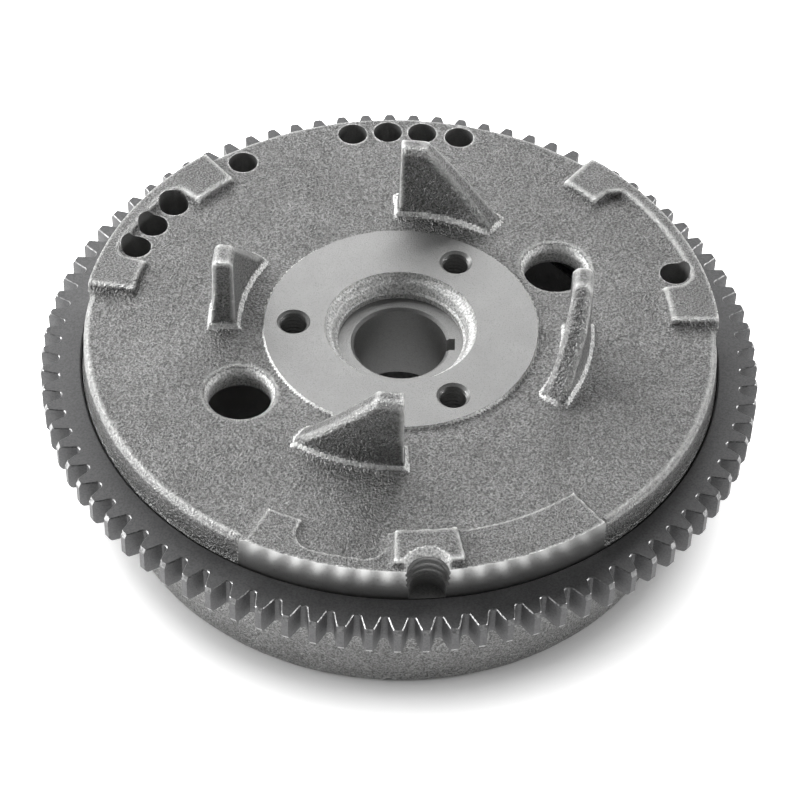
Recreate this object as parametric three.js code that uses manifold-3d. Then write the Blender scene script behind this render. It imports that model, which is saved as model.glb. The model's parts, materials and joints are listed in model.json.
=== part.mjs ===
// Flywheel of a small engine: a cast iron cup and web with a machined hub, four fan vanes, balance
// lugs and drilled balance holes, a shrunk-on starter ring gear, and the magnet ring of its alternator.
// Millimetres. +Z is the crank axis, towards the hub face. The origin is on the axis, at the cup's rim.

import * as THREE from 'three';
import { mergeVertices } from 'three/addons/utils/BufferGeometryUtils.js';
import Module from 'manifold-3d';

const wasm = await Module();
wasm.setup();

// Ring gear
const TEETH = 85;
const MODULE = 25.4 / 12;
const TIP_RADIUS = MODULE * (TEETH + 2) / 2;
const ROOT_RADIUS = TIP_RADIUS - 2.25 * MODULE;
const TOOTH_PHASE = 186.5;
const TIP_WIDTH = 1.9;
const ROOT_GAP = 1.7;
const TIP_BEVEL = { radial: 0.68, axial: 1.3 };
const GEAR_BORE = 81.7;
const GEAR_TOP = 40.8;
const GEAR_THICKNESS = 8.4;
const FIT_GAP = 0.3;

// Cup and web
const CUP_RADIUS = 75.2;
const CUP_INNER = 67.5;
const RIM_EDGE = 0.8;
const SEAT_RADIUS = GEAR_BORE - FIT_GAP;
const SHOULDER_RADIUS = 83.6;
const SHOULDER_DEPTH = 2.6;
const WEB_TOP = 49.3;
const WEB_THICKNESS = 7.4;
const FLANGE_RADIUS = 80.6;
const FLANGE_ROUND = 1.2;
const MAGNET_LEDGE = 31.8;

// Hub
const HUB_RADIUS = 34.7;
const HUB_TOP = 50.2;
const HUB_BOTTOM = 18;
const RECESS_RADIUS = 19.25;
const SPOTFACE_RADIUS = 16.1;
const NUT_SEAT = 43.9;
const BORE_RADIUS = 12;
const BORE_TAPER = 1 / 16;
const KEY_WIDTH = 4;
const KEY_DEPTH = 2;

// Holes
const THREADED = { count: 3, circle: 27.4, radius: 3.4, mouth: 4.2, depth: 13, phase: 60 };
const WINDOW = { circle: 46.5, radius: 7.85, mouth: 9.1, phase: 31.6 };
const BALANCE = { circle: 74.6, radius: 3.9, depth: 7.5 };
const BALANCE_ANGLES = [18.2, 79.2, 87, 94.2, 101.6, 126.2, 145.3, 152.5, 159.5];
const RIM_NOTCH_RADIUS = 1.3;
const RIM_NOTCH_ANGLE = 270;

// Fan vanes: tall at one end, each sloping down to the web along an arc about the axis
const VANE = { circle: 45.1, thickness: 5.6, height: 22.3, tall: 2.3, flat: -6.3, low: -32.5 };

// Balance lugs along the flange
const LUG_INNER = 69.2;
const RIDGE_INNER = 77.5;
const FRONT_TOP = WEB_TOP + 1.1;
const BOSS_TOP = FRONT_TOP + 2;
const BACK_TOP = WEB_TOP + 2.2;
const FRONT_LUG = [243.2, 308.6];
const FRONT_POCKET = [251.5, 268.4];
const FRONT_BOSS = [269.2, 282.8];
const FRONT_HOLE = { angle: 276, radius: 5.3, centre: 80.6, steps: 3, step: 0.35, pitch: 1.9 };
const LEFT_LUG = { span: [131.5, 172.9], pads: [[131.5, 142.2], [163.8, 172.9]] };
const RIGHT_LUG = { span: [3.3, 52.5], pads: [[3.3, 13.6], [43.5, 52.5]] };

// Alternator magnets
const MAGNETS = 12;
const MAGNET_INNER = 60.2;
const MAGNET_OUTER = CUP_INNER - FIT_GAP;
const MAGNET_BOTTOM = 4;
const MAGNET_TOP = 28;
const RIB_WIDTH = 2.6;
const CAGE_BOTTOM = 1.7;
const SLEEVE_THICKNESS = 0.6;

const SEGMENTS = 72;
const HOLE_SEGMENTS = 20;

const cast = new THREE.MeshStandardMaterial({ color: 0x8c8c8a, roughness: 0.62, metalness: 0.85 });
const steel = new THREE.MeshStandardMaterial({ color: 0x5d5e60, roughness: 0.42, metalness: 1 });
const ferrite = new THREE.MeshStandardMaterial({ color: 0x2b2b2d, roughness: 0.7, metalness: 0.1 });
const nylon = new THREE.MeshStandardMaterial({ color: 0x17181a, roughness: 0.6, metalness: 0 });
const stainless = new THREE.MeshStandardMaterial({ color: 0xa4a5a6, roughness: 0.3, metalness: 1 });

const radians = THREE.MathUtils.degToRad;

function polar(radius, degrees) {
  return new THREE.Vector2(radius * Math.cos(radians(degrees)), radius * Math.sin(radians(degrees)));
}

// Solids

function solid(geometry) {
  geometry.deleteAttribute('normal');
  geometry.deleteAttribute('uv');
  const merged = mergeVertices(geometry, 1e-4);
  return new wasm.Manifold(new wasm.Mesh({
    numProp: 3,
    vertProperties: new Float32Array(merged.attributes.position.array),
    triVerts: new Uint32Array(merged.index.array),
  }));
}

function geometryOf(manifold) {
  const mesh = manifold.getMesh();
  const geometry = new THREE.BufferGeometry();
  geometry.setAttribute('position', new THREE.BufferAttribute(mesh.vertProperties, 3));
  geometry.setIndex(new THREE.BufferAttribute(mesh.triVerts, 1));
  geometry.computeVertexNormals();
  return geometry;
}

// A turned solid from a closed outline of [radius, z], outer side going up
function turned(outline, segments = SEGMENTS) {
  const points = [...outline, outline[0]].map(([radius, z]) => new THREE.Vector2(radius, z));
  return new THREE.LatheGeometry(points, segments).rotateX(Math.PI / 2);
}

// A solid whose plan is a closed shape, from one height to another
function plate(shape, bottom, top, curveSegments = 12) {
  const geometry = new THREE.ExtrudeGeometry(shape, {
    depth: top - bottom, bevelEnabled: false, curveSegments,
  });
  return geometry.translate(0, 0, bottom);
}

// A drill: stations of [radius, z] from the bottom up, about a vertical line through a plan point
function drill(stations, centre, segments = HOLE_SEGMENTS) {
  const points = [[0, stations[0][1]], ...stations, [0, stations.at(-1)[1]]];
  return turned(points, segments).translate(centre.x, centre.y, 0);
}

function sector(inner, outer, [from, to], bottom, top) {
  const steps = Math.max(2, Math.round((to - from) / 4));
  const shape = new THREE.Shape();
  for (let i = 0; i <= steps; i++) {
    const point = polar(outer, from + (to - from) * i / steps);
    if (i === 0) shape.moveTo(point.x, point.y);
    else shape.lineTo(point.x, point.y);
  }
  for (let i = steps; i >= 0; i--) {
    const point = polar(inner, from + (to - from) * i / steps);
    shape.lineTo(point.x, point.y);
  }
  shape.closePath();
  return plate(shape, bottom, top);
}

// Ring gear: a bevelled disc of teeth with a plain bore

function toothedOutline() {
  const pitch = 360 / TEETH;
  const tipHalf = THREE.MathUtils.radToDeg(TIP_WIDTH / 2 / TIP_RADIUS);
  const rootHalf = pitch / 2 - THREE.MathUtils.radToDeg(ROOT_GAP / 2 / ROOT_RADIUS);
  const shape = new THREE.Shape();
  for (let tooth = 0; tooth < TEETH; tooth++) {
    const centre = TOOTH_PHASE + tooth * pitch;
    const corners = [
      polar(ROOT_RADIUS, centre - rootHalf), polar(TIP_RADIUS, centre - tipHalf),
      polar(TIP_RADIUS, centre + tipHalf), polar(ROOT_RADIUS, centre + rootHalf),
    ];
    corners.forEach((corner, i) => {
      if (tooth === 0 && i === 0) shape.moveTo(corner.x, corner.y);
      else shape.lineTo(corner.x, corner.y);
    });
  }
  shape.closePath();
  return shape;
}

function ringGear() {
  const bottom = GEAR_TOP - GEAR_THICKNESS;
  const { radial, axial } = TIP_BEVEL;
  const blank = solid(turned([
    [GEAR_BORE, bottom], [TIP_RADIUS - radial, bottom], [TIP_RADIUS + 1, bottom + axial],
    [TIP_RADIUS + 1, GEAR_TOP - axial * (1 + 1 / radial)], [TIP_RADIUS - radial, GEAR_TOP],
    [GEAR_BORE, GEAR_TOP],
  ]));
  return blank.intersect(solid(plate(toothedOutline(), bottom - 1, GEAR_TOP + 1)));
}

// Flywheel body

function turnedBody() {
  const shoulderTop = GEAR_TOP - GEAR_THICKNESS - FIT_GAP;
  const webBottom = WEB_TOP - WEB_THICKNESS;
  const boreBottom = BORE_RADIUS + (NUT_SEAT - HUB_BOTTOM) * BORE_TAPER;
  return solid(turned([
    [CUP_INNER, 0], [CUP_RADIUS - RIM_EDGE, 0], [CUP_RADIUS, RIM_EDGE],
    [CUP_RADIUS + 0.9, shoulderTop - SHOULDER_DEPTH - 4], [SHOULDER_RADIUS, shoulderTop - SHOULDER_DEPTH],
    [SHOULDER_RADIUS, shoulderTop], [SEAT_RADIUS, shoulderTop], [SEAT_RADIUS, GEAR_TOP],
    [FLANGE_RADIUS, WEB_TOP - FLANGE_ROUND], [FLANGE_RADIUS - FLANGE_ROUND, WEB_TOP],
    [HUB_RADIUS, WEB_TOP], [HUB_RADIUS, HUB_TOP],
    [RECESS_RADIUS, HUB_TOP], [RECESS_RADIUS - 0.2, HUB_TOP - 1.1],
    [SPOTFACE_RADIUS + 1.2, HUB_TOP - 1.6], [SPOTFACE_RADIUS + 0.5, NUT_SEAT + 2.1],
    [SPOTFACE_RADIUS, NUT_SEAT + 2], [SPOTFACE_RADIUS, NUT_SEAT],
    [BORE_RADIUS + 0.6, NUT_SEAT], [BORE_RADIUS, NUT_SEAT - 0.6],
    [boreBottom, HUB_BOTTOM], [HUB_RADIUS - 12.7, HUB_BOTTOM], [HUB_RADIUS - 12, HUB_BOTTOM + 0.7],
    [HUB_RADIUS - 10.7, 33.2], [HUB_RADIUS - 2.7, 34.6], [HUB_RADIUS - 1.7, webBottom],
    [CUP_INNER - 11, webBottom], [CUP_INNER - 7.8, webBottom - 2.6],
    [CUP_INNER - 6.2, MAGNET_LEDGE], [CUP_INNER, MAGNET_LEDGE],
  ]));
}

function vane() {
  const top = WEB_TOP + VANE.height;
  const inner = VANE.circle - VANE.thickness / 2;
  const blade = solid(sector(inner, inner + VANE.thickness, [VANE.low, VANE.tall], WEB_TOP - 1, top));
  const crest = polar(VANE.circle, VANE.flat);
  const toe = polar(VANE.circle, VANE.low);
  const run = crest.distanceTo(toe);
  const slope = Math.atan2(VANE.height, run);
  const length = 3 * VANE.height;
  const cutter = new THREE.BoxGeometry(length, length, length)
    .translate(0, 0, length / 2)
    .rotateY(-slope)
    .rotateZ(Math.atan2(crest.y - toe.y, crest.x - toe.x))
    .translate(toe.x, toe.y, WEB_TOP);
  return blade.subtract(solid(cutter));
}

function lugs() {
  const base = GEAR_TOP;
  const outer = SEAT_RADIUS;
  const parts = [
    sector(LUG_INNER, outer, FRONT_LUG, base, FRONT_TOP),
    sector(LUG_INNER, outer, FRONT_BOSS, base, BOSS_TOP),
    ...[LEFT_LUG, RIGHT_LUG].flatMap((lug) => [
      sector(RIDGE_INNER, outer, lug.span, base, BACK_TOP),
      ...lug.pads.map((pad) => sector(LUG_INNER, outer, pad, base, BACK_TOP)),
    ]),
  ].map(solid);
  const pocket = solid(sector(LUG_INNER - 2, RIDGE_INNER + 0.6, FRONT_POCKET, WEB_TOP, FRONT_TOP + 1));
  return parts[0].subtract(pocket).add(parts.slice(1).reduce((sum, part) => sum.add(part)));
}

function holes() {
  const above = BOSS_TOP + 1;
  const cutters = [];
  for (let i = 0; i < THREADED.count; i++) {
    const centre = polar(THREADED.circle, THREADED.phase + 360 / THREADED.count * i);
    const { radius, mouth, depth } = THREADED;
    cutters.push(drill([
      [radius, HUB_TOP - depth], [radius, HUB_TOP - (mouth - radius)], [mouth, HUB_TOP], [mouth, above],
    ], centre));
  }
  for (const angle of [WINDOW.phase, WINDOW.phase + 180]) {
    const { circle, radius, mouth } = WINDOW;
    cutters.push(drill([
      [radius, WEB_TOP - WEB_THICKNESS - 1], [radius, WEB_TOP - 1.6], [mouth, WEB_TOP], [mouth, above],
    ], polar(circle, angle), 28));
  }
  for (const angle of BALANCE_ANGLES) {
    const { circle, radius, depth } = BALANCE;
    const point = WEB_TOP - depth;
    cutters.push(drill([[0.2, point - 2], [radius, point], [radius, above]], polar(circle, angle)));
  }
  return cutters.map(solid);
}

function breakoutHole() {
  const { angle, radius, centre, steps, step, pitch } = FRONT_HOLE;
  const stations = [[radius - step * steps, GEAR_TOP - 0.4]];
  for (let i = 0; i < steps; i++) {
    const z = BOSS_TOP - pitch * (steps - i);
    stations.push([radius - step * (steps - i), z], [radius - step * (steps - i - 1), z + 0.1]);
  }
  stations.push([radius, BOSS_TOP + 1]);
  return solid(drill(stations, polar(centre, angle), 28));
}

function keyway() {
  const reach = BORE_RADIUS + KEY_DEPTH;
  const height = NUT_SEAT - HUB_BOTTOM + 2;
  return solid(new THREE.BoxGeometry(reach, KEY_WIDTH, height)
    .translate(reach / 2, 0, HUB_BOTTOM - 1.5 + height / 2));
}

function rimNotch() {
  const centre = polar(CUP_RADIUS, RIM_NOTCH_ANGLE);
  return solid(new THREE.CylinderGeometry(RIM_NOTCH_RADIUS, RIM_NOTCH_RADIUS, 6, 16)
    .translate(centre.x, centre.y, 0));
}

function flywheelBody() {
  let body = turnedBody().add(lugs());
  const blade = vane();
  for (let quarter = 0; quarter < 4; quarter++) body = body.add(blade.rotate([0, 0, 90 * quarter]));
  return [...holes(), breakoutHole(), keyway(), rimNotch()]
    .reduce((sum, cutter) => sum.subtract(cutter), body);
}

// Magnet ring

const MAGNET_PITCH = 360 / MAGNETS;
const MAGNET_HALF = MAGNET_PITCH / 2
  - THREE.MathUtils.radToDeg((RIB_WIDTH / 2 + FIT_GAP) / MAGNET_INNER);
const RIB_HALF = THREE.MathUtils.radToDeg(RIB_WIDTH / 2 / MAGNET_OUTER);

function magnetCage() {
  const flange = solid(turned([
    [MAGNET_INNER, CAGE_BOTTOM], [MAGNET_OUTER, CAGE_BOTTOM],
    [MAGNET_OUTER, MAGNET_BOTTOM - FIT_GAP], [MAGNET_INNER, MAGNET_BOTTOM - FIT_GAP],
  ]));
  let cage = flange;
  for (let i = 0; i < MAGNETS; i++) {
    const centre = MAGNET_PITCH * (i + 0.5);
    const rib = sector(MAGNET_INNER, MAGNET_OUTER - 0.4, [centre - RIB_HALF, centre + RIB_HALF],
      CAGE_BOTTOM + 0.5, MAGNET_TOP);
    cage = cage.add(solid(rib));
  }
  return cage;
}

function plainRing(inner, outer, bottom, top) {
  return turned([[inner, bottom], [outer, bottom], [outer, top], [inner, top]]);
}

// Assembly

const flywheel = new THREE.Group();

function addPart(name, geometry, material) {
  const mesh = new THREE.Mesh(geometry, material);
  mesh.name = name;
  flywheel.add(mesh);
  return mesh;
}

addPart('flywheel_body', geometryOf(flywheelBody()), cast);
addPart('ring_gear', geometryOf(ringGear()), steel);
for (let i = 0; i < MAGNETS; i++) {
  const name = `magnet_${String(i + 1).padStart(2, '0')}`;
  const magnet = sector(MAGNET_INNER, MAGNET_OUTER, [-MAGNET_HALF, MAGNET_HALF], MAGNET_BOTTOM, MAGNET_TOP);
  addPart(name, magnet, ferrite).rotation.z = radians(MAGNET_PITCH * i);
}
addPart('magnet_cage', geometryOf(magnetCage()), nylon);
const RING_BOTTOM = MAGNET_TOP + FIT_GAP;
const RING_TOP = MAGNET_LEDGE - FIT_GAP;
addPart('magnet_base_ring', plainRing(MAGNET_INNER, MAGNET_OUTER, RING_BOTTOM, RING_TOP), steel);
const SLEEVE_OUTER = MAGNET_INNER - FIT_GAP;
addPart('magnet_sleeve',
  plainRing(SLEEVE_OUTER - SLEEVE_THICKNESS, SLEEVE_OUTER, CAGE_BOTTOM, RING_TOP), stainless);

export default flywheel;
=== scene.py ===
"""Engine flywheel: a sand-cast iron body, a starter ring gear and a magnet ring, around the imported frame.

Plan sizes and heights are in millimetres from the crank axis and the cup's rim. Meshes are in metres.
"""

import json
import math

import bmesh
import bpy
import numpy as np
from mathutils import Matrix, Vector, noise


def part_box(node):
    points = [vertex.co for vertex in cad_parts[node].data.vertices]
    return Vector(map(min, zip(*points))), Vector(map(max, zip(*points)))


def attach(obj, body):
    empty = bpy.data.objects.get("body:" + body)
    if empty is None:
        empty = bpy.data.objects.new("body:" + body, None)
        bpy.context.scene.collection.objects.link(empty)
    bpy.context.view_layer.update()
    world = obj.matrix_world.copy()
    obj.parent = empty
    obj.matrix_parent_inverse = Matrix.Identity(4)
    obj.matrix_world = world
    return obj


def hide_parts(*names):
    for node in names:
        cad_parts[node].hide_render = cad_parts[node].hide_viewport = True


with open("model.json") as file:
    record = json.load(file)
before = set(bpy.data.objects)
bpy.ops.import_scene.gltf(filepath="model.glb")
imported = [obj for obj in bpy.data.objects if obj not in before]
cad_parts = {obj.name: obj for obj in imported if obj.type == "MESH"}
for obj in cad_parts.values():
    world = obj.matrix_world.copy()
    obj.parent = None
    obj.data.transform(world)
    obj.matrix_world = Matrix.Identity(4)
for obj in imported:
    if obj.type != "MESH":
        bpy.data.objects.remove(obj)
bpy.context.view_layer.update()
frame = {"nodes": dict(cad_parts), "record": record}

MM = 0.001
ROOT = "root"

# ---------------------------------------------------------------- sizes from the frame

record = frame["record"]
mounts = {m["name"]: [v / MM for v in m["pos_m"]] for m in record["mounts"]}
openings = {o["name"]: o["box_m"] for o in record["physics"]["openings"]}


def node_box(name):
    """The lowest and highest corner of a CAD node, in millimetres."""
    low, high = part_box(name)
    return low / MM, high / MM


def opening_centre(name):
    """The plan centre of a stated opening, in millimetres."""
    low, high = openings[name]
    return Vector((low[0] + high[0], low[1] + high[1])) / 2 / MM


gear_low, gear_high = node_box("ring_gear")
body_high = node_box("flywheel_body")[1]
magnet_low, magnet_high = node_box("magnet_01")
cage_low, cage_high = node_box("magnet_cage")
base_low, base_high = node_box("magnet_base_ring")
sleeve_low, sleeve_high = node_box("magnet_sleeve")

HUB_TOP = mounts["hub_face"][2]
NUT_SEAT = mounts["nut_seat"][2]
GEAR_BOTTOM = gear_low.z
GEAR_TOP = gear_high.z
TIP_RADIUS = gear_high.x
VANE_TOP = body_high.z

# ---------------------------------------------------------------- driving dimensions

# The CAD's gap where pieces are shrunk or bonded together
GAP = 0.3

# Ring gear
TEETH = 85
TOOTH_PHASE = 186.5
MODULE = 2 * TIP_RADIUS / (TEETH + 2)
ROOT_RADIUS = TIP_RADIUS - 2.25 * MODULE
PRESSURE_ANGLE = 20
TOOTH_THINNING = 0.12
GEAR_BORE = 81.7
TIP_BEVEL_RADIAL = 0.68
TIP_BEVEL_AXIAL = 1.3
TOOTH_EDGE = 0.22

# Casting
WEB_TOP = HUB_TOP - 0.9
WEB_BOTTOM = WEB_TOP - 7.4
SEAT_RADIUS = 81.4
SHOULDER_TOP = GEAR_BOTTOM - GAP
SHOULDER_RADIUS = 83.7
CUP_RADIUS = 75.2
CUP_INNER = 67.5
MAGNET_LEDGE = base_high.z + GAP
LEDGE_INNER = 61.3
HUB_RADIUS = 34.7
HUB_BOTTOM = 18
HUB_FOOT_RADIUS = 26
# The hub below the web, up from its turned end, as (radius, z)
LOWER_HUB = [(24, 33.2), (32, 34.6), (33.5, WEB_BOTTOM)]
LOWER_HUB_RADIUS = 22.3
BORE_RADIUS = 12
BORE_TAPER = 1 / 16
SPOTFACE_RADIUS = 16.1
RECESS_RADIUS = 19.25
KEY_WIDTH = 4
KEY_DEPTH = 2
# Metal left on the casting for turning
STOCK = 0.8

# Vanes: tall at one end, sloping down to the web along an arc about the axis. Ends are in degrees.
VANE_CIRCLE = 45.1
VANE_BASE = 6.2
VANE_CREST = 5.3
VANE_TALL = 2.4
VANE_FLAT = -6.4
VANE_LOW = -33.5
VANE_EDGE = 1.1
VANE_FOOT = 1.1

# Rim lugs, by their first and last angle
LUGS = [(243.2, 308.6), (131.5, 172.9), (3.3, 52.5)]
LUG_INNER = 69.2
RIDGE_INNER = 77.5
BOSS_OUTER = 79.8
# How far a ridge's ends run into the pads beside it
HIDDEN_END = 3
FRONT_TOP = WEB_TOP + 1.1
BOSS_TOP = FRONT_TOP + 2
BACK_TOP = WEB_TOP + 2.2
# Each lug with its top and its bevel's width and drop
LUG_EDGES = list(zip(LUGS, (FRONT_TOP, BACK_TOP, BACK_TOP), (0.55, 1.5, 1.5), (0.55, 1.0, 1.0)))

# Holes
THREAD_MINOR = 3.4
THREAD_MAJOR = 4.0
THREAD_PITCH = 1.25
THREAD_DEPTH = 13
THREAD_MOUTH = 4.3
WINDOW_RADIUS = 7.85
BALANCE_CIRCLE = 74.6
BALANCE_RADIUS = 3.9
BALANCE_DEPTH = 7.5
BALANCE_ANGLES = [18.2, 79.2, 87, 94.2, 101.6, 126.2, 145.3, 152.5, 159.5]
BREAKOUT_ANGLE = 276
BREAKOUT_CIRCLE = 81.6
BREAKOUT_RADIUS = 5.2
RIM_NOTCH_RADIUS = 1.3
RIM_NOTCH_ANGLE = 270

# Cast surface
VOXEL = 0.6
FILLET_ROUNDS = 3
FILLET_FACTOR = 0.5
# Layers of unevenness, as (size, depth)
UNEVENNESS = [(11, 0.12), (4.2, 0.05), (1.5, 0.05)]

# How closely a face's place must agree with a turned surface
NEAR = 0.03

# The casting's material slots
AS_CAST, TURNED, DRILLED, LUG_WALL, TORN_PAINTED_BRIGHT = range(5)

# Points that would be merged for pointiness, in metres
TWIN_REACH = 0.00035
TWIN_SUM = 5e-7
TWIN_NUDGE = 2e-6

threaded_holes = [opening_centre(f"threaded_hole_{side}") for side in ("back", "left", "front")]
windows = [opening_centre(f"window_{side}") for side in ("right", "left")]


def polar(radius, degrees):
    angle = math.radians(degrees)
    return Vector((radius * math.cos(angle), radius * math.sin(angle)))


balance_holes = [polar(BALANCE_CIRCLE, angle) for angle in BALANCE_ANGLES]
breakout = polar(BREAKOUT_CIRCLE, BREAKOUT_ANGLE)

# ---------------------------------------------------------------- mesh building


def mesh_object(name, points, faces):
    """A mesh from points in millimetres."""
    mesh = bpy.data.meshes.new(name)
    mesh.from_pydata([tuple(v * MM for v in p) for p in points], [], faces)
    mesh.validate()
    obj = bpy.data.objects.new(name, mesh)
    bpy.context.scene.collection.objects.link(obj)
    return obj


def lathe(name, outline, segments=240):
    """A ring turned from a closed outline of (radius, z), outer side going up."""
    rows = len(outline)
    points, faces = [], []
    for i in range(segments):
        angle = 2 * math.pi * i / segments
        c, s = math.cos(angle), math.sin(angle)
        points += [(r * c, r * s, z) for r, z in outline]
    for i in range(segments):
        here, there = i * rows, (i + 1) % segments * rows
        for j in range(rows):
            k = (j + 1) % rows
            faces.append((here + j, there + j, there + k, here + k))
    return mesh_object(name, points, faces)


def spindle(name, stations, centre, segments=64, shape=None):
    """A solid of revolution from stations of (radius, z) going up, closed at both ends.

    shape(angle, radius, z) may change a station's radius round the axis.
    """
    points, faces = [], []
    for r, z in stations:
        for i in range(segments):
            angle = 2 * math.pi * i / segments
            radius = shape(angle, r, z) if shape else r
            points.append((centre[0] + radius * math.cos(angle), centre[1] + radius * math.sin(angle), z))
    for j in range(len(stations) - 1):
        low, high = j * segments, (j + 1) * segments
        for i in range(segments):
            k = (i + 1) % segments
            faces.append((low + i, low + k, high + k, high + i))
    last = (len(stations) - 1) * segments
    faces.append(tuple(range(segments - 1, -1, -1)))
    faces.append(tuple(last + i for i in range(segments)))
    return mesh_object(name, points, faces)


def prism(name, base, top, low, high):
    """A solid between two plan outlines with the same number of points, anticlockwise."""
    n = len(base)
    points = [(x, y, low) for x, y in base] + [(x, y, high) for x, y in top]
    faces = [tuple(range(n - 1, -1, -1)), tuple(range(n, 2 * n))]
    faces += [(i, (i + 1) % n, n + (i + 1) % n, n + i) for i in range(n)]
    return mesh_object(name, points, faces)


def sector(inner, outer, start, end, scoop, steps):
    """The plan outline of a ring sector. scoop rounds the inner side into neighbours that hide its ends."""
    spread = [start + (end - start) * i / steps for i in range(steps + 1)]
    outline = [polar(outer, angle) for angle in spread]
    for angle in reversed(spread):
        depth = 0
        if scoop:
            gap = min(angle - start, end - angle) * math.radians(inner) - HIDDEN_END
            near = min(1, max(0, 1 - gap / scoop))
            depth = scoop * (1 - math.sqrt(1 - near * near))
        outline.append(polar(inner - depth, angle))
    return [(p.x, p.y) for p in outline]


def drafted_sector(name, inner, outer, start, end, low, high, drafts, scoop=0):
    """A ring sector whose inner side, start and end lean in by these drafts between low and high."""
    inner_draft, start_draft, end_draft = drafts
    turn = 2 / math.radians(inner + outer)
    step_degrees = 0.6
    steps = max(4, round((end - start) / step_degrees))
    base = sector(inner, outer, start, end, scoop, steps)
    top = sector(inner + inner_draft, outer, start + start_draft * turn, end - end_draft * turn, scoop, steps)
    return prism(name, base, top, low, high)


def lathe_sector(name, outline, start, end):
    """Part of a turned ring: a closed outline of (radius, z) swept from one angle to another."""
    step_degrees = 1.5
    steps = max(4, round((end - start) / step_degrees))
    rows = len(outline)
    points, faces = [], []
    for i in range(steps + 1):
        direction = polar(1, start + (end - start) * i / steps)
        points += [(direction.x * r, direction.y * r, z) for r, z in outline]
    for i in range(steps):
        here, there = i * rows, (i + 1) * rows
        for j in range(rows):
            k = (j + 1) % rows
            faces.append((here + j, there + j, there + k, here + k))
    last = steps * rows
    faces.append(tuple(range(rows - 1, -1, -1)))
    faces.append(tuple(last + j for j in range(rows)))
    return mesh_object(name, points, faces)


def join(objects, name):
    data = bmesh.new()
    for obj in objects:
        data.from_mesh(obj.data)
        bpy.data.objects.remove(obj)
    mesh = bpy.data.meshes.new(name)
    data.to_mesh(mesh)
    data.free()
    joined = bpy.data.objects.new(name, mesh)
    bpy.context.scene.collection.objects.link(joined)
    return joined


def bake_modifiers(obj):
    """Replaces the object's mesh by what its modifiers make of it."""
    graph = bpy.context.evaluated_depsgraph_get()
    mesh = bpy.data.meshes.new_from_object(obj.evaluated_get(graph))
    obj.modifiers.clear()
    obj.data = mesh


def boolean(target, tool, operation="DIFFERENCE"):
    modifier = target.modifiers.new("boolean", "BOOLEAN")
    modifier.operation = operation
    modifier.solver = "MANIFOLD"
    modifier.object = tool
    bake_modifiers(target)
    bpy.data.objects.remove(tool)


def points_of(mesh):
    co = np.empty(len(mesh.vertices) * 3, np.float32)
    mesh.vertices.foreach_get("co", co)
    return co.reshape(-1, 3)


def smooth_shading(obj, sharp_degrees=32):
    """Smooth faces, with edges sharper than the angle kept crisp."""
    mesh = obj.data
    data = bmesh.new()
    data.from_mesh(mesh)
    limit = math.radians(sharp_degrees)
    for face in data.faces:
        face.smooth = True
    for edge in data.edges:
        edge.smooth = len(edge.link_faces) == 2 and edge.calc_face_angle(math.pi) < limit
    data.to_mesh(mesh)
    data.free()


# ---------------------------------------------------------------- the casting


def raw_turned_form():
    """The casting before machining, as a ring about the axis, with stock where it will be turned."""
    outline = [
        (CUP_INNER - STOCK, -STOCK), (CUP_RADIUS - 0.6, -STOCK), (CUP_RADIUS + 0.1, 1.2),
        (CUP_RADIUS + 1.1, SHOULDER_TOP - 7), (SHOULDER_RADIUS, SHOULDER_TOP - 2.6),
        (SHOULDER_RADIUS, SHOULDER_TOP + STOCK),
        (SEAT_RADIUS + STOCK, SHOULDER_TOP + STOCK + 0.3), (SEAT_RADIUS + STOCK, GEAR_TOP - 1.2),
        (SEAT_RADIUS - 0.45, GEAR_TOP), (SEAT_RADIUS - 0.7, WEB_TOP - 1.2), (SEAT_RADIUS - 1.7, WEB_TOP),
        (HUB_RADIUS + 0.25, WEB_TOP),
        (HUB_RADIUS + 0.1, HUB_TOP + STOCK), (RECESS_RADIUS + 0.3, HUB_TOP + STOCK),
        (RECESS_RADIUS - 0.1, HUB_TOP - 1.4), (RECESS_RADIUS - 1.7, HUB_TOP - 2.0),
        (SPOTFACE_RADIUS + 0.6, NUT_SEAT + 2.0), (SPOTFACE_RADIUS - STOCK, NUT_SEAT + 1.0),
        (BORE_RADIUS - STOCK, NUT_SEAT + 1.0), (BORE_RADIUS - STOCK, HUB_BOTTOM - STOCK),
        (LOWER_HUB_RADIUS, HUB_BOTTOM - STOCK), *LOWER_HUB,
        (CUP_INNER - 11, WEB_BOTTOM), (CUP_INNER - 7.8, WEB_BOTTOM - 2.6),
        (LEDGE_INNER, MAGNET_LEDGE - STOCK), (CUP_INNER - STOCK, MAGNET_LEDGE - STOCK),
    ]
    return lathe("raw_form", outline, 360)


def window_core(centre):
    """The sand core of a through window, opening out to a rounded mouth on both faces."""
    flare = 1.5
    stations = [
        (WINDOW_RADIUS + flare, WEB_BOTTOM - 2), (WINDOW_RADIUS + flare, WEB_BOTTOM - 0.2),
        (WINDOW_RADIUS + 0.3, WEB_BOTTOM + 1.2), (WINDOW_RADIUS, WEB_TOP - 2.2),
        (WINDOW_RADIUS + 0.5, WEB_TOP - 1.0), (WINDOW_RADIUS + flare, WEB_TOP),
        (WINDOW_RADIUS + flare, WEB_TOP + 3),
    ]
    return spindle("window_core", stations, centre)


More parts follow.
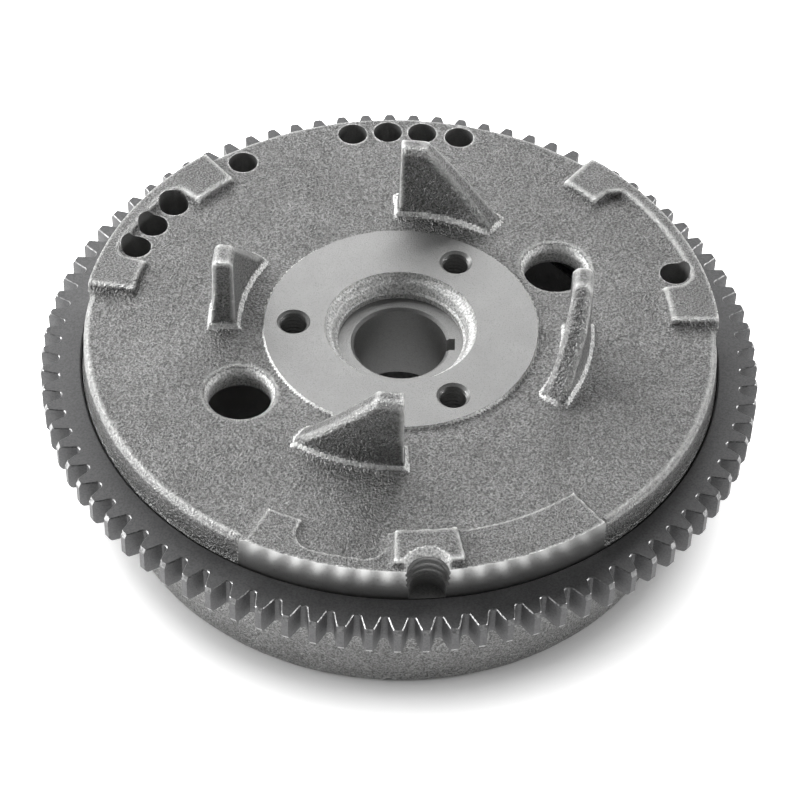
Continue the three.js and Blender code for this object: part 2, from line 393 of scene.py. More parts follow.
def vane(quarter):
    """A fan vane: a wall along an arc, its top sloping from the crest down to the web."""
    steps = 20
    slope = [VANE_LOW + (VANE_FLAT - VANE_LOW) * i / steps for i in range(steps + 1)]
    spread = slope + [VANE_TALL - 3, VANE_TALL]
    points, faces = [], []
    root = WEB_TOP - 2
    for angle in spread:
        climb = min(1, (angle - VANE_LOW) / (VANE_FLAT - VANE_LOW))
        top = WEB_TOP - 0.3 + (VANE_TOP + 0.15 - WEB_TOP + 0.3) * climb
        half_top = (VANE_BASE + (VANE_CREST - VANE_BASE) * climb) / 2
        lean = 0.5 if angle == VANE_TALL else 0
        turned = angle + 90 * quarter
        shoulder = max(root + 0.1, top - VANE_EDGE * 1.2)
        for half, z, back in (
            (-VANE_BASE / 2, root, 0), (VANE_BASE / 2, root, 0), (half_top, shoulder, lean),
            (half_top - VANE_EDGE, top, lean), (VANE_EDGE - half_top, top, lean), (-half_top, shoulder, lean),
        ):
            p = polar(VANE_CIRCLE + half, turned - back)
            points.append((p.x, p.y, z))
    sides = 6
    for i in range(len(spread) - 1):
        a, b = sides * i, sides * (i + 1)
        faces += [(a + j, a + (j + 1) % sides, b + (j + 1) % sides, b + j) for j in range(sides)]
    last = sides * (len(spread) - 1)
    faces += [tuple(range(sides - 1, -1, -1)), tuple(range(last, last + sides))]
    return mesh_object("vane", points, faces)


def vane_foot(quarter):
    """The low bead of metal that runs round a vane's foot."""
    reach = VANE_BASE / 2 + VANE_FOOT
    past = math.degrees(VANE_FOOT / VANE_CIRCLE)
    start, end = VANE_LOW + 2 + 90 * quarter, VANE_TALL + past + 90 * quarter
    drafts = (0.3, 0.3, 0.3)
    low, high = WEB_TOP - 1, WEB_TOP + 1.2
    return drafted_sector("foot", VANE_CIRCLE - reach, VANE_CIRCLE + reach, start, end, low, high, drafts)


def raw_lugs():
    """The balance lugs: walls up to the web, with pads and ridges on them, and stock on their outer side."""
    outer = SEAT_RADIUS + STOCK
    foot = WEB_TOP - 0.4
    pieces = []
    for start, end in LUGS:
        pieces.append(drafted_sector("lug_wall", RIDGE_INNER, outer, start, end,
                                     GEAR_TOP - 1, foot + 0.1, (0, 0, 0)))
    for name, inner, (start, end), top, drafts, scoop in (
        ("front_left_pad", LUG_INNER, (243.0, 251.8), FRONT_TOP, (0.5, 2.0, 0.3), 0),
        ("front_ridge", RIDGE_INNER, (249.4, 271.1), FRONT_TOP, (0.3, 0, 0), 5.5),
        ("front_right_pad", LUG_INNER, (268.8, 308.8), FRONT_TOP, (0.4, 0, 0.5), 0),
        ("front_boss", LUG_INNER - 0.2, (268.7, 283.1), BOSS_TOP, (0.9, 2.3, 0.8), 0),
        ("left_pad_a", LUG_INNER - 0.7, (131.0, 142.6), BACK_TOP, (1.0, 1.0, 0.8), 0),
        ("left_ridge", RIDGE_INNER - 0.9, (140.2, 165.7), BACK_TOP, (1.2, 0, 0), 2),
        ("left_pad_b", LUG_INNER - 0.7, (163.4, 173.4), BACK_TOP, (1.0, 0.8, 1.0), 0),
        ("right_pad_a", LUG_INNER - 0.7, (2.8, 14.1), BACK_TOP, (1.0, 0.9, 0.9), 0),
        ("right_ridge", RIDGE_INNER - 0.9, (11.9, 45.3), BACK_TOP, (1.4, 0, 0), 3),
        ("right_pad_b", LUG_INNER - 0.7, (43.1, 53.0), BACK_TOP, (1.0, 0.9, 1.0), 0),
    ):
        reach = BOSS_OUTER if name == "front_boss" else outer
        pieces.append(drafted_sector(name, inner, reach, start, end, foot, top, drafts, scoop))
    return pieces


def roughen(obj, layers):
    """Moves each point along its normal by layers of smooth noise of (size, depth) in millimetres."""
    mesh = obj.data
    co = points_of(mesh)
    normals = np.empty(len(mesh.vertices) * 3, np.float32)
    mesh.vertex_normals.foreach_get("vector", normals)
    normals = normals.reshape(-1, 3)
    shift = np.zeros(len(co), np.float32)
    for size, depth in layers:
        scale = 1 / (size * MM)
        values = [noise.noise(Vector(p)) for p in (co * scale).tolist()]
        shift += np.array(values, np.float32) * depth * MM
    mesh.vertices.foreach_set("co", (co + normals * shift[:, None]).ravel())
    mesh.update()


def raw_casting():
    """The casting as it leaves the sand: every corner filleted and every face slightly uneven."""
    form = raw_turned_form()
    for centre in windows:
        boolean(form, window_core(centre))
    vanes = [shape(quarter) for quarter in range(4) for shape in (vane, vane_foot)]
    casting = join([form] + vanes + raw_lugs(), "flywheel_casting")
    remesh = casting.modifiers.new("voxels", "REMESH")
    remesh.mode = "VOXEL"
    remesh.voxel_size = VOXEL * MM
    fillet = casting.modifiers.new("fillets", "SMOOTH")
    fillet.factor = FILLET_FACTOR
    fillet.iterations = FILLET_ROUNDS
    bake_modifiers(casting)
    roughen(casting, UNEVENNESS)
    return casting


# ---------------------------------------------------------------- machining


def turning_envelope():
    """What the lathe leaves: the seat, shoulder, hub face, recess, bore and the inside of the cup."""
    above, below = VANE_TOP + 8, -5
    outside = SEAT_RADIUS + 8
    broken = 0.6
    bore_bottom = BORE_RADIUS + (NUT_SEAT - HUB_BOTTOM) * BORE_TAPER
    facing = (HUB_RADIUS + VANE_CIRCLE) / 2
    return lathe("turning_envelope", [
        (CUP_INNER + broken, 0), (outside, 0), (outside, SHOULDER_TOP), (SEAT_RADIUS, SHOULDER_TOP),
        (SEAT_RADIUS, above), (facing, above), (facing, HUB_TOP), (RECESS_RADIUS + 0.15, HUB_TOP),
        (RECESS_RADIUS - 0.15, HUB_TOP - 0.3), (RECESS_RADIUS - 0.2, HUB_TOP - 1.0),
        (SPOTFACE_RADIUS + 0.6, HUB_TOP - 1.0), (SPOTFACE_RADIUS + 0.6, NUT_SEAT + 2.1),
        (SPOTFACE_RADIUS, NUT_SEAT + 1.8), (SPOTFACE_RADIUS, NUT_SEAT), (BORE_RADIUS + 0.75, NUT_SEAT),
        (BORE_RADIUS, NUT_SEAT - 0.65), (bore_bottom, HUB_BOTTOM + 0.7), (bore_bottom + 0.7, HUB_BOTTOM),
        (HUB_FOOT_RADIUS, HUB_BOTTOM), (HUB_FOOT_RADIUS, below), (LEDGE_INNER, below),
        (LEDGE_INNER, MAGNET_LEDGE),
        (CUP_INNER, MAGNET_LEDGE), (CUP_INNER, broken),
    ], 480)


def tapped_hole(centre):
    """A threaded hole: a cone mouth over a helical thread, with a flat end below."""
    bottom = HUB_TOP - THREAD_DEPTH
    rows_per_turn = 10
    rows = round(THREAD_DEPTH / THREAD_PITCH * rows_per_turn)
    depth = THREAD_MAJOR - THREAD_MINOR

    def helix(angle, radius, z):
        turn = (z / THREAD_PITCH - angle / (2 * math.pi)) % 1
        ridge = min(1, 2.6 * abs(turn - 0.5))
        grown = THREAD_MINOR + depth * ridge
        return max(radius, grown) if z < HUB_TOP else radius

    stations = [(THREAD_MINOR, bottom + THREAD_DEPTH * i / rows) for i in range(rows)]
    flare = [(THREAD_MINOR + (THREAD_MOUTH - THREAD_MINOR) * t, HUB_TOP - 0.75 * (1 - t)) for t in (0.8, 1)]
    stations = [s for s in stations if s[1] < HUB_TOP - 0.3] + flare
    return spindle("tap", stations + [(THREAD_MOUTH + 0.9, HUB_TOP + 1)], centre, 64, helix)


def drilled_hole(centre, radius, depth):
    """A balance hole, its full width to this depth below the web and a drill point below that."""
    shoulder = WEB_TOP - depth
    point = shoulder - 0.55 * radius
    return spindle("drill", [(0.15, point), (radius, shoulder), (radius, BOSS_TOP + 2)], centre)


def breakout_drill():
    """The stepped drill that opens through the lug's wall: a plain shank under a few ridged turns."""
    shank = BREAKOUT_RADIUS - 0.75
    mouth = BREAKOUT_RADIUS + 0.9
    turns = 3
    rise = 1.9
    growth = 0.12
    stations = [(shank, GEAR_TOP - 0.4), (shank, GEAR_TOP + 3.6)]
    for i in range(turns):
        low = GEAR_TOP + 3.8 + rise * i
        stations += [
            (BREAKOUT_RADIUS - 0.45 + growth * i, low), (BREAKOUT_RADIUS - 0.05 + growth * i, low + 0.5),
            (BREAKOUT_RADIUS + growth * i, low + 1.0), (BREAKOUT_RADIUS - 0.35 + growth * i, low + 1.6),
        ]
    stations += [(BREAKOUT_RADIUS + 0.3, BOSS_TOP - 1.2), (mouth, BOSS_TOP + 0.2), (mouth, BOSS_TOP + 2)]
    return spindle("breakout", stations, breakout)


def key_broach():
    """The tool that cuts the keyway through the bore's wall."""
    inside = BORE_RADIUS / 2
    reach = BORE_RADIUS + KEY_DEPTH
    half = KEY_WIDTH / 2
    outline = [(inside, -half), (reach, -half), (reach, half), (inside, half)]
    return prism("key", outline, outline, HUB_BOTTOM - 2, NUT_SEAT + 0.6)


def rim_notch_drill():
    """A drill that lies along a radius and marks the cup's rim."""
    notch = spindle("notch", [(RIM_NOTCH_RADIUS, -5), (RIM_NOTCH_RADIUS, 4)], (0, 0), 32)
    direction = polar(1, RIM_NOTCH_ANGLE)
    along = Matrix.Rotation(math.radians(90), 4, Vector((direction.y, -direction.x, 0)))
    move = Matrix.Translation(Vector((direction.x, direction.y, 0)) * CUP_RADIUS * MM)
    notch.data.transform(move @ along)
    return notch


def machined_casting():
    casting = raw_casting()
    boolean(casting, turning_envelope(), "INTERSECT")
    overrun = 0.4
    for (start, end), top, width, drop in LUG_EDGES:
        boolean(casting, lug_edge_tool(start - overrun, end + overrun, top, width, drop))
    for centre in threaded_holes:
        boolean(casting, tapped_hole(centre))
    for centre in balance_holes:
        boolean(casting, drilled_hole(centre, BALANCE_RADIUS, BALANCE_DEPTH))
    boolean(casting, breakout_drill())
    boolean(casting, key_broach())
    boolean(casting, rim_notch_drill())
    part_twin_points(casting.data)
    return casting


def part_twin_points(mesh):
    """Nudges points that the renderer's pointiness would take for one.

    It merges points closer than TWIN_REACH whose coordinates add up to the same, which leaves a bright spot.
    """
    co = points_of(mesh)
    total = co.sum(axis=1)
    order = np.argsort(total, kind="stable")
    for step in (1, 2, 3):
        first, second = order[:-step], order[step:]
        twins = (total[second] - total[first] < TWIN_SUM) & (
            np.linalg.norm(co[second] - co[first], axis=1) < TWIN_REACH)
        co[second[twins], 2] += TWIN_NUDGE * step
    mesh.vertices.foreach_set("co", co.ravel())
    mesh.update()


def lug_edge_tool(start, end, top, width, drop):
    """The tool that bevels the outer top edge of a lug."""
    return lathe_sector("edge_tool", [
        (SEAT_RADIUS - 3 * width, top + 2 * drop), (SEAT_RADIUS + width, top - 2 * drop),
        (SEAT_RADIUS + width, top + 2 * drop),
    ], start, end)


def face_centres(mesh):
    """The middle of each face, in millimetres."""
    centres = np.empty(len(mesh.polygons) * 3, np.float32)
    mesh.polygons.foreach_get("center", centres)
    return centres.reshape(-1, 3) / MM


def face_tilts(mesh):
    """The upward part of each face's normal."""
    normals = np.empty(len(mesh.polygons) * 3, np.float32)
    mesh.polygons.foreach_get("normal", normals)
    return normals.reshape(-1, 3)[:, 2]


def mark_machined_faces(obj):
    """Gives each face its material slot by where it lies.

    DRILLED takes in the bore, LUG_WALL the lugs' bevels, and TORN_PAINTED_BRIGHT the recess, windows and
    bands along edges, whose pale colour is painted light.
    """
    mesh = obj.data
    x, y, z = face_centres(mesh).T
    r = np.hypot(x, y)
    up = face_tilts(mesh)
    turned = (
        ((np.abs(z - HUB_TOP) < NEAR) & (r < HUB_RADIUS + 3))
        | ((np.abs(r - SEAT_RADIUS) < NEAR) & (z > SHOULDER_TOP - NEAR))
        | ((np.abs(z - SHOULDER_TOP) < NEAR) & (r > SEAT_RADIUS - NEAR))
        | ((r < SPOTFACE_RADIUS + 0.65) & (z < NUT_SEAT + 2.15) & (z > HUB_BOTTOM - NEAR))
        | ((r < RECESS_RADIUS + 0.2) & (r > RECESS_RADIUS - 0.22) & (z > HUB_TOP - 1.05))
        | ((np.abs(z - HUB_BOTTOM) < NEAR) & (r < HUB_FOOT_RADIUS))
        | ((np.abs(z) < NEAR) & (r > CUP_INNER - NEAR))
        | ((np.abs(r - CUP_INNER) < NEAR) & (z < MAGNET_LEDGE + NEAR))
        | ((np.abs(z - MAGNET_LEDGE) < NEAR) & (r > LEDGE_INNER - NEAR))
    )
    drilled = np.zeros(len(x), bool)
    for centre, radius, low in (
        [(c, THREAD_MOUTH + 0.1, HUB_TOP - THREAD_DEPTH - 1) for c in threaded_holes]
        + [(c, BALANCE_RADIUS + 0.04, WEB_TOP - BALANCE_DEPTH - 3) for c in balance_holes]
        + [(breakout, BREAKOUT_RADIUS + 0.95, GEAR_TOP - 1)]
    ):
        inside = np.hypot(x - centre[0], y - centre[1]) < radius
        drilled |= inside & (z > low) & ~(np.abs(z - HUB_TOP) < NEAR)
    drilled |= (r < BORE_RADIUS + KEY_DEPTH + 0.1) & (z < NUT_SEAT - 0.66) & (z > HUB_BOTTOM + NEAR)
    drilled &= ~(np.abs(r - SEAT_RADIUS) < NEAR)
    wall = (r > SEAT_RADIUS - 0.8) & (z > GEAR_TOP - 0.6) & turned
    for _, top, width, drop in LUG_EDGES:
        across = (r - SEAT_RADIUS) / width + (z - top) / drop + 1
        wall |= (np.abs(across) < 0.05) & (up > 0.4) & (up < 0.95)
    # The recess and the windows' walls take the pale material: painted light on these hollow walls.
    recess = (r < RECESS_RADIUS + 0.2) & (z > NUT_SEAT + NEAR) & (z < HUB_TOP - NEAR)
    for centre in windows:
        from_centre = np.hypot(x - centre[0], y - centre[1])
        recess |= (from_centre < WINDOW_RADIUS + 1.0) & (z > WEB_BOTTOM + 0.6) & (z < WEB_TOP - 0.4)
    # A band round the hub's top edge and round each vane's foot takes the pale material too: a painted
    # highlight along these edges.
    highlight_band = (r > HUB_RADIUS - 0.1) & (r < HUB_RADIUS + 0.7) & (z > WEB_TOP + 0.15) & (z < HUB_TOP - NEAR)
    around = np.degrees(np.arctan2(y, x))
    first = np.radians(VANE_LOW + 2) * VANE_CIRCLE
    last = np.radians(VANE_TALL) * VANE_CIRCLE
    for quarter in range(4):
        turn = (around - 90 * quarter + 180) % 360 - 180
        along = np.radians(turn) * VANE_CIRCLE
        past = np.maximum(along - last, first - along)
        gap = np.maximum(np.abs(r - VANE_CIRCLE) - VANE_BASE / 2, past)
        highlight_band |= (gap > 0.25) & (gap < VANE_FOOT + 0.1) & (z > WEB_TOP + 0.2) & (z < WEB_TOP + 2)
    torn = (np.hypot(x - breakout.x, y - breakout.y) < BREAKOUT_RADIUS + 0.95) & (z > FRONT_TOP - 0.4)
    recess |= (highlight_band | torn) & ~turned
    drilled &= ~torn
    index = np.full(len(x), AS_CAST, np.int32)
    for faces, slot in ((turned, TURNED), (wall, LUG_WALL), (recess, TORN_PAINTED_BRIGHT), (drilled, DRILLED)):
        index[faces] = slot
    mesh.polygons.foreach_set("material_index", index)


# ---------------------------------------------------------------- the ring gear


def tooth_profile():
    """Half a tooth, from the middle of its tip to the middle of the root gap, as (radius, degrees)."""
    pitch_radius = MODULE * TEETH / 2
    base_radius = pitch_radius * math.cos(math.radians(PRESSURE_ANGLE))

    def involute(radius):
        ratio = max(1, radius / base_radius)
        roll = math.sqrt(ratio * ratio - 1)
        return roll - math.atan(roll)

    half_at_pitch = (math.pi * MODULE / 2 - TOOTH_THINNING) / 2 / pitch_radius
    profile = [(TIP_RADIUS, 0)]
    flank = 5
    foot = ROOT_RADIUS + 0.75
    for i in range(flank + 1):
        radius = TIP_RADIUS + (foot - TIP_RADIUS) * i / flank
        half = half_at_pitch + involute(pitch_radius) - involute(radius)
        profile.append((radius, math.degrees(half)))
    gap = 180 / TEETH
    foot_angle = profile[-1][1]
    for share in (0.22, 0.5, 0.8, 1):
        drop = math.sqrt(1 - (1 - share) ** 2)
        profile.append((foot + (ROOT_RADIUS - foot) * drop, foot_angle + (gap - foot_angle) * share))
    return profile


def gear_outline():
    """The toothed outline, anticlockwise, as (radius, degrees)."""
    profile = tooth_profile()
    outline = []
    for tooth in range(TEETH):
        centre = TOOTH_PHASE + tooth * 360 / TEETH
        outline += [(radius, centre - angle) for radius, angle in reversed(profile[1:])]
        outline += [(radius, centre + angle) for radius, angle in profile[:-1]]
    return outline


def ring_gear():
    """A toothed ring with bevelled tips, broken tooth edges and a chamfered bore."""
    outline = gear_outline()
    count = len(outline)
    height = GEAR_TOP - GEAR_BOTTOM

    def edge_ring(z, inset):
        """The outline at a height, drawn in by inset and kept inside the tip bevel."""
        ring = []
        drop = min(z - GEAR_BOTTOM, GEAR_TOP - z)
        bevel = TIP_RADIUS - TIP_BEVEL_RADIAL * max(0, 1 - drop / TIP_BEVEL_AXIAL)
        for i, (radius, angle) in enumerate(outline):
            before, here, after = (polar(*outline[(i + k) % count]) for k in (-1, 0, 1))
            side = (after - before).normalized()
            inward = Vector((-side.y, side.x))
            p = here + inward * inset
            if p.length > bevel:
                p = p.normalized() * bevel
            ring.append((p.x, p.y, z))
        return ring

    heights = [
        (GEAR_BOTTOM, TOOTH_EDGE), (GEAR_BOTTOM + TOOTH_EDGE, 0), (GEAR_BOTTOM + TIP_BEVEL_AXIAL, 0),
        (GEAR_TOP - TIP_BEVEL_AXIAL, 0), (GEAR_TOP - TOOTH_EDGE, 0), (GEAR_TOP, TOOTH_EDGE),
    ]
    rings = [edge_ring(z, inset) for z, inset in heights]
    land = ROOT_RADIUS - 1.3
    chamfer = 0.4

    def circle(radius, z):
        return [(*(polar(radius, angle)), z) for _, angle in outline]

    rings.append(circle(land, GEAR_TOP))
    rings.append(circle(GEAR_BORE + chamfer, GEAR_TOP))
    rings.append(circle(GEAR_BORE, GEAR_TOP - chamfer))
    rings.append(circle(GEAR_BORE, GEAR_BOTTOM + chamfer))
    rings.append(circle(GEAR_BORE + chamfer, GEAR_BOTTOM))
    rings.append(circle(land, GEAR_BOTTOM))
    points = [p for ring in rings for p in ring]
    faces = []
    for j in range(len(rings)):
        low, high = j * count, (j + 1) % len(rings) * count
        faces += [(low + i, low + (i + 1) % count, high + (i + 1) % count, high + i) for i in range(count)]
    return mesh_object("ring_gear_detailed", points, faces)


def mark_gear_edges(obj):
    """Material 1 on the tip bevels and the broken edges of the teeth."""
    mesh = obj.data
    x, y, z = face_centres(mesh).T
    up = np.abs(face_tilts(mesh))
    edge = (up > 0.15) & (up < 0.97) & (np.hypot(x, y) > ROOT_RADIUS - 1)
    mesh.polygons.foreach_set("material_index", edge.astype(np.int32))


# ---------------------------------------------------------------- the magnet ring


def chamfered_sector(name, inner, outer, start, end, low, high, chamfer):
    """A ring sector with broken edges all round."""
    turn = math.degrees(chamfer / outer)
    steps = 12
    full = sector(inner, outer, start, end, 0, steps)
    small = sector(inner + chamfer, outer - chamfer, start + turn, end - turn, 0, steps)
    n = len(full)
    levels = [(small, low), (full, low + chamfer), (full, high - chamfer), (small, high)]
    points = [(x, y, z) for outline, z in levels for x, y in outline]
    faces = [tuple(range(n - 1, -1, -1)), tuple(range(3 * n, 4 * n))]
    for j in range(3):
        below, above = j * n, (j + 1) * n
        faces += [(below + i, below + (i + 1) % n, above + (i + 1) % n, above + i) for i in range(n)]
    return mesh_object(name, points, faces)


def chamfered_ring(name, inner, outer, low, high, chamfer):
    """A ring with broken edges all round."""
    c = chamfer
    return lathe(name, [
        (inner + c, low), (outer - c, low), (outer, low + c), (outer, high - c),
        (outer - c, high), (inner + c, high), (inner, high - c), (inner, low + c),
    ])


# ---------------------------------------------------------------- materials


class Nodes:
    """A material's node tree, with short calls for the nodes it uses."""

    def __init__(self, name):
        self.material = bpy.data.materials.new(name)
        self.material.use_nodes = True
        self.tree = self.material.node_tree
        self.shader = self.tree.nodes["Principled BSDF"]
        self.place = self.add("ShaderNodeTexCoord").outputs["Object"]

    def add(self, kind, **values):
        node = self.tree.nodes.new(kind)
        for key, value in values.items():
            setattr(node, key, value)
        return node

    def link(self, source, target):
        self.tree.links.new(source, target)

    def noise(self, size, detail=3, roughness=0.55, stretch=None):
        """Noise with features of about size millimetres, from 0 to 1."""
        node = self.add("ShaderNodeTexNoise")
        node.inputs["Scale"].default_value = 1 / (size * MM)
        node.inputs["Detail"].default_value = detail
        node.inputs["Roughness"].default_value = roughness
        source = self.place
        if stretch:
            mapping = self.add("ShaderNodeMapping")
            mapping.inputs["Scale"].default_value = stretch
            self.link(source, mapping.inputs["Vector"])
            source = mapping.outputs["Vector"]
        self.link(source, node.inputs["Vector"])
        return node.outputs["Fac"]

    def ramp(self, source, *stops):
        """A value ramp through stops of (position, value or colour)."""
        node = self.add("ShaderNodeValToRGB")
        elements = node.color_ramp.elements
        while len(elements) < len(stops):
            elements.new(0.5)
        for element, (position, value) in zip(elements, stops):
            element.position = position
            colour = value if isinstance(value, tuple) else (value, value, value)
            element.color = (*colour, 1)
        self.link(source, node.inputs["Fac"])
        return node.outputs["Color"]

    def math(self, operation, a, b):
        node = self.add("ShaderNodeMath", operation=operation)
        for socket, value in zip(node.inputs, (a, b)):
            if isinstance(value, (int, float)):
                socket.default_value = value
            else:
                self.link(value, socket)
        return node.outputs[0]

    def mix(self, share, a, b, blend="MIX"):
        node = self.add("ShaderNodeMix", data_type="RGBA", blend_type=blend)
        for socket, value in ((node.inputs[0], share), (node.inputs[6], a), (node.inputs[7], b)):
            if isinstance(value, (int, float)):
                if socket.type == "VALUE":
                    socket.default_value = value
                else:
                    socket.default_value = (value, value, value, 1)
            elif isinstance(value, tuple):
                socket.default_value = (*value, 1)
            else:
                self.link(value, socket)
        return node.outputs[2]

    def bump(self, height, depth, below=None):
        """A bump of depth millimetres over what is below it."""
        node = self.add("ShaderNodeBump")
        node.inputs["Strength"].default_value = 1
        node.inputs["Distance"].default_value = depth * MM
        self.link(height, node.inputs["Height"])
        if below:
            self.link(below, node.inputs["Normal"])
        return node.outputs["Normal"]

    def pale_edges(self, low, high):
        """From 0 on flat faces to 1 on sharp outer edges, and 0 again on the odd needle point."""
        pointiness = self.add("ShaderNodeNewGeometry").outputs["Pointiness"]
        return self.ramp(pointiness, (low, 0), (high, 1), (0.64, 1), (0.68, 0))

    def turned_marks(self, pitch):
        """Fine rings about the axis, such as a lathe tool leaves."""
        split = self.add("ShaderNodeSeparateXYZ")
        self.link(self.place, split.inputs["Vector"])
        x, y, z = split.outputs
        squares = self.math("ADD", self.math("MULTIPLY", x, x), self.math("MULTIPLY", y, y))
        radius = self.math("SQRT", squares, 0)
        along = self.add("ShaderNodeCombineXYZ")
        self.link(radius, along.inputs[0])
        self.link(z, along.inputs[1])
        marks = self.add("ShaderNodeTexNoise")
        marks.inputs["Scale"].default_value = 1 / (pitch * MM)
        marks.inputs["Detail"].default_value = 2
        self.link(along.outputs[0], marks.inputs["Vector"])
        return marks.outputs["Fac"]

    def finish(self, colour, roughness, normal, metallic, specular=0.5):
        self.link(colour, self.shader.inputs["Base Color"])
        self.link(roughness, self.shader.inputs["Roughness"])
        self.link(normal, self.shader.inputs["Normal"])
        self.shader.inputs["Metallic"].default_value = metallic
        self.shader.inputs["Specular IOR Level"].default_value = specular
        return self.material


def cast_iron():
    """Sand-cast grey iron: sparkling grain, patches of tone, and outer edges painted paler, partly scuffing
    and partly a painted highlight.
    """
    n = Nodes("cast_iron_as_cast")
    grain = n.noise(0.5, 2, 0.6)
    pits = n.noise(1.1, 3, 0.65)
    patches = n.noise(14, 4, 0.6)
    tone = n.ramp(patches, (0.3, (0.25, 0.25, 0.247)), (0.7, (0.312, 0.312, 0.309)))
    dark = n.mix(1, tone, 0.42, "MULTIPLY")
    light = n.mix(1, tone, 1.42, "MULTIPLY")
    speckled = n.mix(n.ramp(grain, (0.34, 0), (0.68, 1)), dark, light)
    pitted = n.mix(n.ramp(pits, (0.3, 1), (0.42, 0)), speckled, (0.16, 0.158, 0.155))
    # Sharp outer edges painted pale: partly scuffing, partly a painted highlight where rounded edges catch
    # the light.
    pale_edged = n.mix(n.pale_edges(0.506, 0.55), pitted, (0.85, 0.85, 0.84))
    rough = n.ramp(grain, (0.2, 0.48), (0.8, 0.34))
    normal = n.bump(pits, 0.5)
    normal = n.bump(grain, 0.6, normal)
    return n.finish(pale_edged, rough, normal, 0.92)


def turned_iron():
    """Freshly machined grey iron: pale and even, with fine tool rings and graphite specks."""
    n = Nodes("cast_iron_turned")
    specks = n.noise(0.3, 2, 0.6)
    marks = n.turned_marks(0.35)
    clouds = n.noise(9, 3)
    tone = n.ramp(clouds, (0.3, (0.285, 0.285, 0.282)), (0.7, (0.32, 0.32, 0.317)))
    colour = n.mix(n.ramp(specks, (0.32, 1), (0.46, 0)), tone, (0.22, 0.22, 0.218))
    rough = n.ramp(specks, (0.3, 0.46), (0.7, 0.56))
    normal = n.bump(specks, 0.12, n.bump(marks, 0.005))
    return n.finish(colour, rough, normal, 0.85)


def turned_wall_iron():
    """The lugs' outer walls: finely turned and bright, their tool marks running round the axis."""
    n = Nodes("cast_iron_turned_wall")
    split = n.add("ShaderNodeSeparateXYZ")
    n.link(n.place, split.inputs["Vector"])
    level = n.add("ShaderNodeCombineXYZ")
    n.link(split.outputs[2], level.inputs[2])
    grooves = n.add("ShaderNodeTexNoise")
    grooves.inputs["Scale"].default_value = 1 / (0.16 * MM)
    grooves.inputs["Detail"].default_value = 1
    n.link(level.outputs[0], grooves.inputs["Vector"])
    specks = n.noise(0.35, 2, 0.6)
    colour = n.mix(n.ramp(specks, (0.3, 1), (0.44, 0)), (0.66, 0.66, 0.653), (0.54, 0.54, 0.535))
    rough = n.ramp(specks, (0.3, 0.28), (0.7, 0.36))
    normal = n.bump(specks, 0.003, n.bump(grooves.outputs["Fac"], 0.008))
    return n.finish(colour, rough, normal, 0.95)


def recess_iron():
    """The nut's recess, the windows and bands along edges: torn iron with coarse rings, its pale colour
    painted light on these faces.
    """
    n = Nodes("cast_iron_recess")
    torn = n.noise(0.6, 3, 0.65)
    marks = n.turned_marks(0.6)
    colour = n.ramp(torn, (0.32, (0.36, 0.36, 0.357)), (0.6, (0.95, 0.95, 0.94)))
    normal = n.bump(torn, 0.32, n.bump(marks, 0.03))
    return n.finish(colour, n.ramp(torn, (0.3, 0.55), (0.7, 0.42)), normal, 0.7)


def drilled_iron():
    """The walls of the bore and of drilled and tapped holes: cut iron, duller than the turned faces, which is
    painted shade inside the holes.
    """
    n = Nodes("cast_iron_drilled")
    split = n.noise(0.5, 3, 0.6, stretch=(1, 1, 4))
    tone = n.ramp(split, (0.3, (0.23, 0.23, 0.228)), (0.7, (0.41, 0.41, 0.406)))
    rough = n.ramp(split, (0.3, 0.4), (0.7, 0.26))
    return n.finish(tone, rough, n.bump(split, 0.03), 0.55)


def gear_steel():
    """The ring gear's dark oiled steel, with faint stains and tool marks."""
    n = Nodes("ring_gear_steel")
    stains = n.noise(7, 4, 0.6)
    grain = n.noise(0.5, 3, 0.6)
    tone = n.ramp(stains, (0.3, (0.115, 0.115, 0.117)), (0.72, (0.15, 0.15, 0.152)))
    colour = n.mix(n.ramp(grain, (0.35, 0.5), (0.6, 0)), tone, (0.055, 0.055, 0.056))
    rough = n.ramp(stains, (0.3, 0.5), (0.7, 0.62))
    normal = n.bump(grain, 0.03, n.bump(n.turned_marks(0.5), 0.006))
    return n.finish(colour, rough, normal, 0.2, 0.35)


def gear_edge_steel():
    """The tooth edges and tip bevels, paler than the faces: partly scuffing, partly a painted highlight."""
    n = Nodes("ring_gear_edges")
    wear_and_highlight = n.noise(0.9, 3, 0.6)
    colour = n.ramp(wear_and_highlight, (0.34, (0.16, 0.16, 0.161)), (0.62, (0.42, 0.42, 0.42)))
    return n.finish(colour, n.ramp(wear_and_highlight, (0.3, 0.5), (0.7, 0.34)), n.bump(wear_and_highlight, 0.03), 0.95)


def ferrite():
    """The magnets: near-black sintered ferrite, a little paler on its edges."""
    n = Nodes("ferrite_magnet")
    grain = n.noise(0.35, 3, 0.6)
    clouds = n.noise(6, 3)
    tone = n.ramp(clouds, (0.3, (0.03, 0.03, 0.031)), (0.7, (0.05, 0.049, 0.048)))
    pale_edged = n.mix(n.pale_edges(0.54, 0.66), tone, (0.12, 0.12, 0.12))
    return n.finish(pale_edged, n.ramp(grain, (0.3, 0.5), (0.7, 0.68)), n.bump(grain, 0.03), 0.1)


def cage_nylon():
    """The magnets' spacer: dull black moulded nylon."""
    n = Nodes("cage_nylon")
    grain = n.noise(0.25, 2)
    flow = n.noise(5, 3, 0.5, stretch=(1, 1, 3))
    tone = n.ramp(flow, (0.3, (0.012, 0.012, 0.013)), (0.7, (0.02, 0.02, 0.021)))
    return n.finish(tone, n.ramp(grain, (0.3, 0.42), (0.7, 0.55)), n.bump(grain, 0.02), 0)


